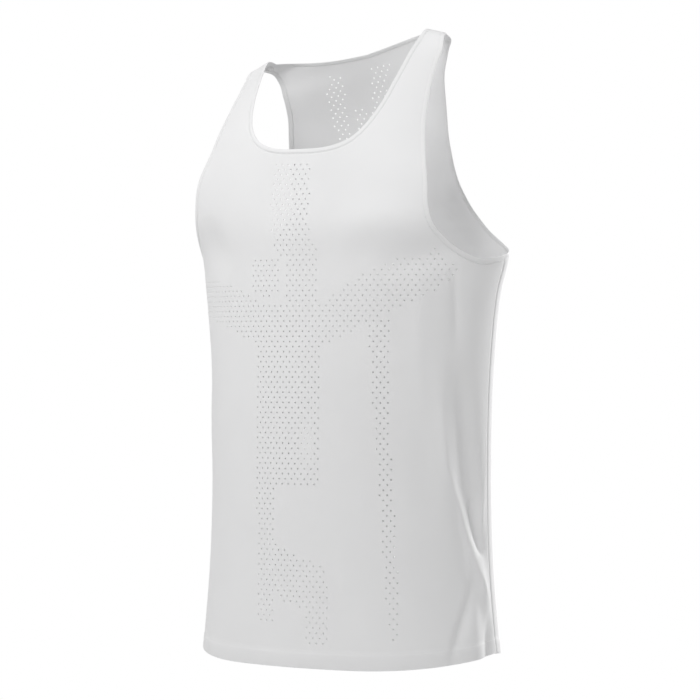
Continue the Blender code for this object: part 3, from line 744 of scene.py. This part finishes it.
# %% [markdown]
# ## Cutting the neck and the armholes
#
# A boolean would leave slivers along a curved cut. Instead, all faces near or past a cutting line are deleted,
# an even strip of faces is laid along the line, and `triangle_fill` closes the stepped gap between the strip and
# the rows. The strip carries the tape, so its surface has to be clean.

# %% Cutting the neck and the armholes
STRIP_DEPTHS = (0.0, 0.0023, 0.0048, 0.0053, 0.0058, 0.0070)     # from the cut edge inwards
STRIP_SPACING = 0.0045
CLEAR_OF_STRIP = 0.0020      # no corner of the rows is nearer to a strip
MERGE = 0.00001              # corners this close are one


def depth_inside(panel, across, level):
    """How deep flat points lie inside the nearest cut, and how steeply the cloth hangs from it there."""
    point = np.stack([np.abs(across), level], axis=-1)
    depth, hang = np.full(len(point), np.inf), np.zeros(len(point))
    for which in ("neck", "armhole"):
        edge, heading = cut_line(panel, which, STRIP_SPACING)
        near = np.linalg.norm(point[:, None] - edge[None], axis=-1).argmin(axis=1)
        here = np.sum((point - edge[near]) * heading[near], axis=-1)
        hang = np.where(here < depth, np.clip(-heading[near, 1], 0, 1), hang)
        depth = np.minimum(depth, here)
    return depth, hang


def add_sheet(bm, points):
    """Adds a grid of faces with its corners at a grid of points. Returns its vertices, row by row."""
    high, wide = points.shape[0] - 1, points.shape[1] - 1
    made = bmesh.ops.create_grid(bm, x_segments=wide, y_segments=high, size=0.5)["verts"]
    for vert, place in zip(made, points.reshape(-1, points.shape[-1])):
        vert.co = tuple(place) + (0,) * (3 - len(place))
    return made


def trim(bm, panel):
    """Cuts the neck and the armholes out of a flat grid, and lays a strip along each cut."""
    rim = bm.edges.layers.int.new("rim")
    lip = bm.verts.layers.int.new("lip")
    for edge in bm.edges:
        edge[rim] = edge.is_boundary
    across, level = coordinates(bm.verts)
    kept = (depth_inside(panel, across, level)[0] > STRIP_DEPTHS[-1] + CLEAR_OF_STRIP) & (
        level < TOP[panel] - CLEAR_OF_STRIP)
    for vert, stays in zip(bm.verts, kept):
        vert.tag = not stays
    gone = [face for face in bm.faces if any(vert.tag for vert in face.verts)]
    bmesh.ops.delete(bm, geom=gone, context="FACES")
    gap = [edge for edge in bm.edges if edge.is_boundary and not edge[rim]]
    steps = [vert for edge in gap for vert in edge.verts]
    for sign in (1, -1):
        for which in ("neck", "armhole"):
            lines = [inside(panel, which, depth, STRIP_SPACING) * (sign, 1) for depth in STRIP_DEPTHS]
            made = add_sheet(bm, np.stack(lines, axis=1))
            for vert in made[len(STRIP_DEPTHS) - 1::len(STRIP_DEPTHS)]:
                vert[lip] = 1
    bmesh.ops.remove_doubles(bm, verts=[vert for vert in bm.verts if abs(vert.co.x) < MERGE], dist=MERGE)
    gap += [edge for edge in bm.edges if edge.is_boundary and all(vert[lip] for vert in edge.verts)]
    for sign in (1, -1):
        lips = [vert for vert in bm.verts if vert[lip] and vert.co.x * sign > 0]
        top = [vert for vert in lips if vert.co.y > TOP[panel] - CLEAR_OF_STRIP]
        gap.append(bm.edges.new(top))
        gap.append(bm.edges.new([max(group, key=lambda vert: vert.co.x * sign) for group in (lips, steps)]))
    filled = bmesh.ops.triangle_fill(bm, use_beauty=True, edges=gap, normal=(0, 0, 1))
    for face in bm.faces:
        face.normal_update()
        if face.normal.z < 0:
            face.normal_flip()
    return sum(isinstance(item, bmesh.types.BMFace) for item in filled["geom"])


trial = flat_grid(FRONT)
print("faces that close the steps:", trim(trial, FRONT))
open_edges = sum(edge.is_boundary for edge in trial.edges)
print(f"cut front: {len(trial.faces)} faces, {open_edges} edges on its rim")
trial.free()

# %% [markdown]
# ## Punching the holes
#
# `bevel` on a vertex replaces it with a small disc of faces, and with two segments the disc has eight corners
# round its middle. Moving them to a circle and deleting the disc leaves a round hole whose rim already belongs
# to the faces around it.

# %% Punching the holes
def punch(bm, panel):
    """Cuts the vents out of a flat panel. Returns how many holes there are."""
    across, level = coordinates(bm.verts)
    column, row = np.rint(across / LATTICE_ACROSS), np.rint(level / LATTICE_UP)
    wanted = ((column + row) % 2 == 0) & (level > HEM_TOP + LATTICE_UP / 2)
    wanted &= np.abs(across - column * LATTICE_ACROSS) < MERGE
    wanted &= depth_inside(panel, across, level)[0] > STRIP_DEPTHS[-1] + LATTICE_UP
    zones = np.zeros(len(across), bool)
    for outline in VENTS[panel].values():
        zones |= within(outline, across, level)
    centres = [vert for vert, here in zip(bm.verts, wanted & zones)
               if here and all(len(face.verts) == 4 for face in vert.link_faces)]
    made = bmesh.ops.bevel(bm, geom=centres, offset=HOLE_RADIUS, offset_type="OFFSET", segments=2,
                           profile=0.5, affect="VERTICES", material=-1)
    discs = set(made["faces"])
    for vert in {vert for face in discs for vert in face.verts}:
        if discs.issuperset(vert.link_faces):
            for other in {other for face in vert.link_faces for other in face.verts} - {vert}:
                other.co = vert.co + (other.co - vert.co).normalized() * HOLE_RADIUS
    bmesh.ops.delete(bm, geom=made["faces"], context="FACES")
    return len(centres)


trial = flat_grid(FRONT)
trim(trial, FRONT)
print("holes in the front:", punch(trial, FRONT))
trial.free()

# %% [markdown]
# ## Wearing the panels
#
# The flat coordinates become the UV map, and then each vertex moves to its place on the body. `Solidify` gives
# the cloth its wall, inwards from the outer face, and a vertex group makes it thicker where the hem is turned
# up. At the very edges the cloth rolls in a little, which draws the seam and softens the hem's fold. The hot
# press that bonds the tapes leaves a narrow line in the cloth, which gapes where the cloth hangs from the edge.

# %% Wearing the panels
WALL = 0.0007
HEM_WALL = 0.0014
HEM_SLACK = 0.0001           # rows this close to the hem's top count as above it
HEM_RELIEF = 0.00045         # the turned-up part stands this far out
HEM_ROLL = 0.0004            # the hem's fold turns in by this much,
HEM_ROLL_HEIGHT = 0.0012     # over this height
SEAM_ROLL = 0.0006           # a panel's side edge turns in by this much,
SEAM_ROLL_WIDTH = 0.0022     # over this width
BOND_LINE = 0.0005           # depth of the line pressed beside a tape,
BOND_LINE_AT = STRIP_DEPTHS[3]           # this far inside the cut,
BOND_LINE_HALF = 0.0002      # give or take this much


def smooth_step(share):
    """0 below 0, 1 above 1, and an even S between."""
    share = np.clip(share, 0, 1)
    return share * share * (3 - 2 * share)


def seam_roll(panel, across, level):
    """How far the cloth turns in beside a side seam."""
    room = side_distance(panel, level) - np.abs(across)
    return SEAM_ROLL * (1 - np.clip(room / SEAM_ROLL_WIDTH, 0, 1))**2


def finishing(panel, across, level):
    """How far the hem, the side edges and the pressed lines move the cloth outwards."""
    height = above_hem(panel, across, level)
    relief_here = HEM_RELIEF * (1 - smooth_step((height - HEM_CUTS[2]) / (HEM_CUTS[3] - HEM_CUTS[2])))
    fold = HEM_ROLL * (1 - np.clip(height / HEM_ROLL_HEIGHT, 0, 1))**2
    depth, hang = depth_inside(panel, across, level)
    pressed = (panel == FRONT) * BOND_LINE * hang**2 * (np.abs(depth - BOND_LINE_AT) < BOND_LINE_HALF)
    return relief_here - fold - seam_roll(panel, across, level) - pressed


def wear(bm, panel):
    """Writes the UV map and moves a flat panel onto the body. Returns its flat area and size."""
    area = sum(face.calc_area() for face in bm.faces)
    across, level = coordinates(bm.verts)
    uv = bm.loops.layers.uv.new("flat")
    for face in bm.faces:
        for loop in face.loops:
            loop[uv].uv = loop.vert.co[:2]
    place, normal = on_body(panel, across, level)
    place = place + finishing(panel, across, level)[:, None] * normal
    group = bm.verts.layers.deform.verify()
    hem = above_hem(panel, across, level) < HEM_TOP - HEM_SLACK
    for vert, spot, thick in zip(bm.verts, place, hem):
        vert.co = spot
        vert[group][0] = float(thick)
    for edge in bm.edges:
        edge.smooth = not edge.is_boundary
    if panel == BACK:
        bmesh.ops.reverse_faces(bm, faces=bm.faces[:])
    return area, (float(np.ptp(across)), float(np.ptp(level)))


panels = {}
for panel, name in ((FRONT, "front_panel"), (BACK, "back_panel")):
    bm = flat_grid(panel)
    trim(bm, panel)
    holes = punch(bm, panel)
    area, size = wear(bm, panel)
    piece = link(name, mesh_from(bm, name))
    piece.vertex_groups.new(name="hem")
    piece.data.materials.append(panel_cloth)
    wall = piece.modifiers.new("wall", "SOLIDIFY")
    wall.thickness = HEM_WALL
    wall.offset = -1
    wall.use_even_offset = True
    wall.vertex_group = "hem"
    wall.thickness_vertex_group = WALL / HEM_WALL
    panels[panel] = {"piece": piece, "area": area, "size": size}
    print(f"{name}: {holes} holes, cut {size[0]:.3f} by {size[1]:.3f} m, {area:.4f} m2 of cloth")

# %% [markdown]
# ## Bound edges
#
# A tape is folded over each cut edge and bonded. Its section is two flat leaves and a tight round fold, written
# as depth inside the cut and height above the cloth. Running that section along the cutting line gives the tape.
# A curve with a bevel profile would twist at the corners of the neck; stations taken from the cloth can't. The
# iron presses the lips thin, which a vertex group on `Solidify` does here.

# %% Bound edges
TAPE_WIDTH = 0.0046
TAPE_WALL = 0.0003
LIP_SHARE = 0.2              # a lip's share of the tape's wall
LIP_WIDTH = 0.0018
TAPE_CLEAR = 0.0001          # between the tape and the cloth
TAPE_REACH = 0.0006          # the fold's inside lies this far beyond the cut
TAPE_SPACING = 0.0030
FOLD_STEPS = 6


def tape_section():
    """Depth and height of the tape's inner face, from the outer leaf's lip round to the inner leaf's.

    The lips are pressed into the cloth, level with its face.
    """
    depths = np.array([TAPE_WIDTH, TAPE_WIDTH - LIP_WIDTH, TAPE_WIDTH / 3, 0.0])
    heights = np.array([-TAPE_WALL * LIP_SHARE, TAPE_CLEAR, TAPE_CLEAR, TAPE_CLEAR])
    outer = np.stack([depths, heights], axis=-1)
    turn = np.linspace(0, math.pi, FOLD_STEPS + 1)[1:-1]
    middle, half = -WALL / 2, WALL / 2 + TAPE_CLEAR
    fold = np.stack([-TAPE_REACH * np.sin(turn), middle + half * np.cos(turn)], axis=-1)
    inner = outer[::-1] * (1, -1) - (0, WALL)
    return np.concatenate([outer, fold, inner])


SECTION = tape_section()


def tape_run(panel, sign, which):
    """Places of the tape's section at every station of half a line."""
    rows = []
    for depth, height in SECTION:
        line = inside(panel, which, depth, TAPE_SPACING)
        place, normal = on_body(panel, sign * line[:, 0], line[:, 1])
        rolled = height - seam_roll(panel, line[:, 0], line[:, 1])
        rows.append(place + rolled[:, None] * normal)
    return np.stack(rows, axis=1)


def joined(runs):
    """One run from several, with one shared station at each seam."""
    whole = runs[0]
    for run in runs[1:]:
        whole = np.concatenate([whole[:-1], (whole[-1:] + run[:1]) / 2, run[1:]])
    whole[0] = whole[-1] = (whole[0] + whole[-1]) / 2
    return whole


def lengths(line):
    """Distance along a line of places, at each of them."""
    return np.concatenate([[0], np.cumsum(np.linalg.norm(np.diff(line, axis=0), axis=1))])


def make_tape(name, points, offset):
    """A tape from the places of its section at each station, its wall on one side or both."""
    bm = bmesh.new()
    group = bm.verts.layers.deform.verify()
    uv = bm.loops.layers.uv.new("flat")
    made = add_sheet(bm, points)
    bmesh.ops.recalc_face_normals(bm, faces=bm.faces[:])
    along, over = lengths(points[:, 0]), lengths(points[len(points) // 2])
    flat = {vert: (along[i // len(over)], over[i % len(over)]) for i, vert in enumerate(made)}
    for i, vert in enumerate(made):
        vert[group][0] = float(0 < i % len(over) < len(over) - 1)
    for face in bm.faces:
        for loop in face.loops:
            loop[uv].uv = flat[loop.vert]
    bmesh.ops.remove_doubles(bm, verts=bm.verts, dist=MERGE)
    piece = link(name, mesh_from(bm, name))
    piece.vertex_groups.new(name="between_lips")
    piece.data.materials.append(binding_tape)
    wall = piece.modifiers.new("wall", "SOLIDIFY")
    wall.thickness = TAPE_WALL
    wall.offset = offset
    wall.use_even_offset = True
    wall.vertex_group = "between_lips"
    wall.thickness_vertex_group = LIP_SHARE
    print(f"{name}: {along[-1]:.3f} m of tape, {over[-1] * 1000:.1f} mm wide when flat")
    return piece, (float(over[-1]), float(along[-1]))


runs = {(panel, sign, which): tape_run(panel, sign, which)
        for panel in (FRONT, BACK) for sign in (1, -1) for which in ("neck", "armhole")}
LOOPS = {
    "neck_tape": ("neck_binding", [runs[FRONT, 1, "neck"], runs[BACK, 1, "neck"][::-1],
                                   runs[BACK, -1, "neck"], runs[FRONT, -1, "neck"][::-1]]),
    "armhole_tape_left": ("armhole_binding_left", [runs[FRONT, 1, "armhole"],
                                                   runs[BACK, 1, "armhole"][::-1]]),
    "armhole_tape_right": ("armhole_binding_right", [runs[FRONT, -1, "armhole"],
                                                     runs[BACK, -1, "armhole"][::-1]]),
}
tapes = {}
for name, (node, parts) in LOOPS.items():
    piece, size = make_tape(name, joined(parts), 1)
    tapes[name] = {"piece": piece, "size": size, "node": node}

# %% [markdown]
# ## Seam tapes
#
# Nothing is sewn on a bonded singlet: the panels meet edge to edge, and a narrow tape is ironed over each join on
# the inside. A tape could be cut from a copy of the panels, but its wall has to lie inside theirs, so it is its
# own strip, worked out from the same cloth points. It runs down each side to the hem, and over each shoulder.

# %% Seam tapes
SEAM_TAPE_HALF = 0.0040
SEAM_TAPE_STEPS = (-1.0, -0.55, 0.0, 0.55, 1.0)      # across the join, from the front to the back
SEAM_TAPE_SPACING = 0.0060
SEAM_TAPE_CLEAR = 0.0003     # from the cloth to the middle of the tape's wall
SIDE_SEAM_ENDS = (HEM_RISE + HEM_TOP + 0.002, UNDERARM - TAPE_WIDTH - 0.002)


def seam_line(which, panel, step, share):
    """Flat points near a seam: a step of the tape's half width in from it, at shares of its length."""
    depth = SEAM_TAPE_HALF * abs(step)
    if which == "side":
        level = SIDE_SEAM_ENDS[0] + share * (SIDE_SEAM_ENDS[1] - SIDE_SEAM_ENDS[0])
        return side_distance(panel, level) - SEAM_HALF_GAP - depth, level
    start = NECK[panel][-1][0] + TAPE_WIDTH + 0.001
    end = ARMHOLE[panel][-1][0] - TAPE_WIDTH - 0.001
    return start + share * (end - start), np.full(len(share), TOP[panel] - SEAM_HALF_GAP - depth)


def seam_tape(which, sign, length):
    """Places of a seam tape's middle layer, a row of the section for each station."""
    share = np.linspace(0, 1, math.ceil(length / SEAM_TAPE_SPACING) + 1)
    rows = []
    for step in SEAM_TAPE_STEPS:
        sides = []
        for panel in (FRONT, BACK) if step == 0 else (FRONT if step < 0 else BACK,):
            across, level = seam_line(which, panel, step, share)
            place, normal = on_body(panel, sign * across, level)
            inwards = WALL + SEAM_TAPE_CLEAR + seam_roll(panel, across, level) * (which == "side")
            sides.append(place - np.reshape(inwards, (-1, 1)) * normal)
        rows.append(sum(sides) / len(sides))
    return np.stack(rows, axis=1)


SEAM_LENGTHS = {"side": SIDE_SEAM_ENDS[1] - SIDE_SEAM_ENDS[0], "shoulder": 0.010}     # for their stations
seam_tapes = [make_tape(f"{which}_seam_tape_{side}", seam_tape(which, sign, length), 0)[0]
              for which, length in SEAM_LENGTHS.items() for side, sign in (("left", 1), ("right", -1))]

# %% [markdown]
# ## Riding on the frame
#
# Every piece moves with the one rigid body and stands for its solid.

# %% Riding on the frame
for piece in seam_tapes:
    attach(piece, "root")
for panel, node, on_it in ((FRONT, "front", seam_tapes), (BACK, "back", [])):
    made = panels[panel]
    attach(made["piece"], "root")
    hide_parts(node)
for name, made in tapes.items():
    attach(made["piece"], "root")
    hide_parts(made["node"])
